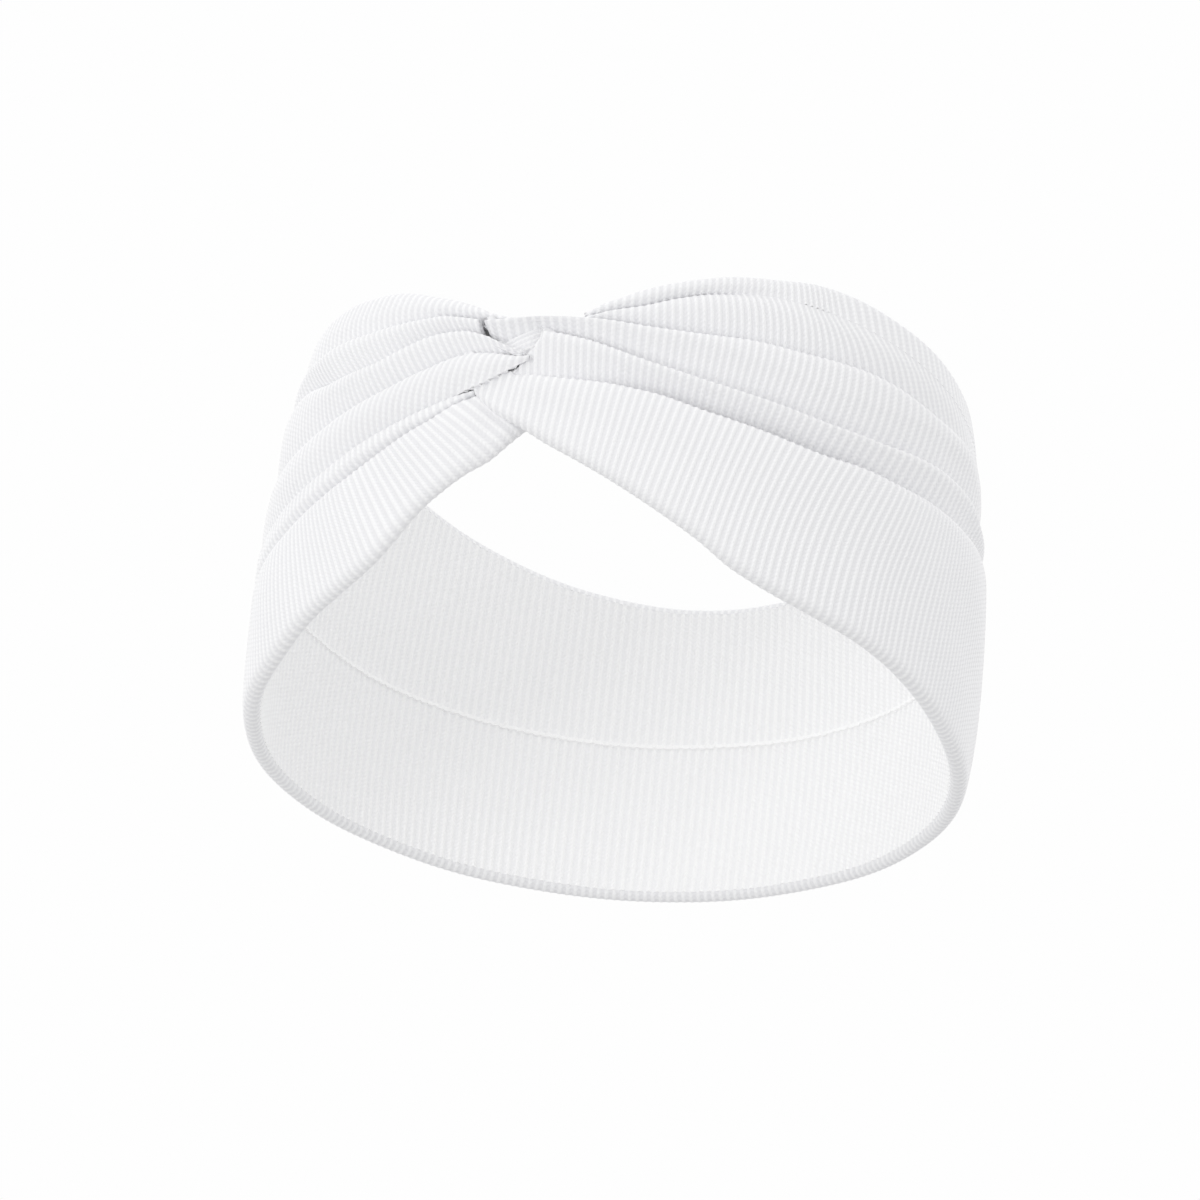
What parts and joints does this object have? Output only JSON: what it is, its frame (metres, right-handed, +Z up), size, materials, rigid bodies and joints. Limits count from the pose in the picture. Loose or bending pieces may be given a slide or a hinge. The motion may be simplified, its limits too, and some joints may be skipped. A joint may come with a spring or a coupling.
{
  "type": "sports headband",
  "caption": "Wide twist-front headband of white rib knit: a folded tube of cloth with pleated arms that lock round each other in a front knot.",
  "frame": {"origin": "centre of the loop, at the level of the flat lower rim", "axes": "+Z up along the axis of the loop, -Y towards the knot, +X to the right of someone facing the knot"},
  "size_m": [0.171, 0.1712, 0.095],
  "materials": {
    "rib_knit_face": "matt white rib knit, ribs across the band",
    "rib_knit_lining": "the same matt white rib knit, inner side",
    "sewing_thread": "white spun sewing thread"
  },
  "bodies": {
    "root": {"outer_face": "rib_knit_face", "right_lower_panel": "rib_knit_face", "right_pleat_lower": "rib_knit_face", "right_pleat_middle": "rib_knit_face", "right_pleat_top": "rib_knit_face", "left_lower_panel": "rib_knit_face", "left_tuck": "rib_knit_face", "left_pleat_lower": "rib_knit_face", "left_pleat_middle": "rib_knit_face", "left_pleat_upper": "rib_knit_face", "left_pleat_top": "rib_knit_face", "knot_fold_right_lower": "rib_knit_face", "knot_fold_left_front": "rib_knit_face", "knot_fold_right_upper": "rib_knit_face", "knot_fold_left_rear": "rib_knit_face", "lining_lower_half": "rib_knit_lining", "lining_upper_half": "rib_knit_lining", "seam_allowance_lower": "rib_knit_lining", "seam_allowance_upper": "rib_knit_lining", "closing_allowance_left": "rib_knit_lining", "closing_allowance_right": "rib_knit_lining", "seam_stitches": "sewing_thread", "closing_stitches": "sewing_thread"}
  },
  "joints": []
}
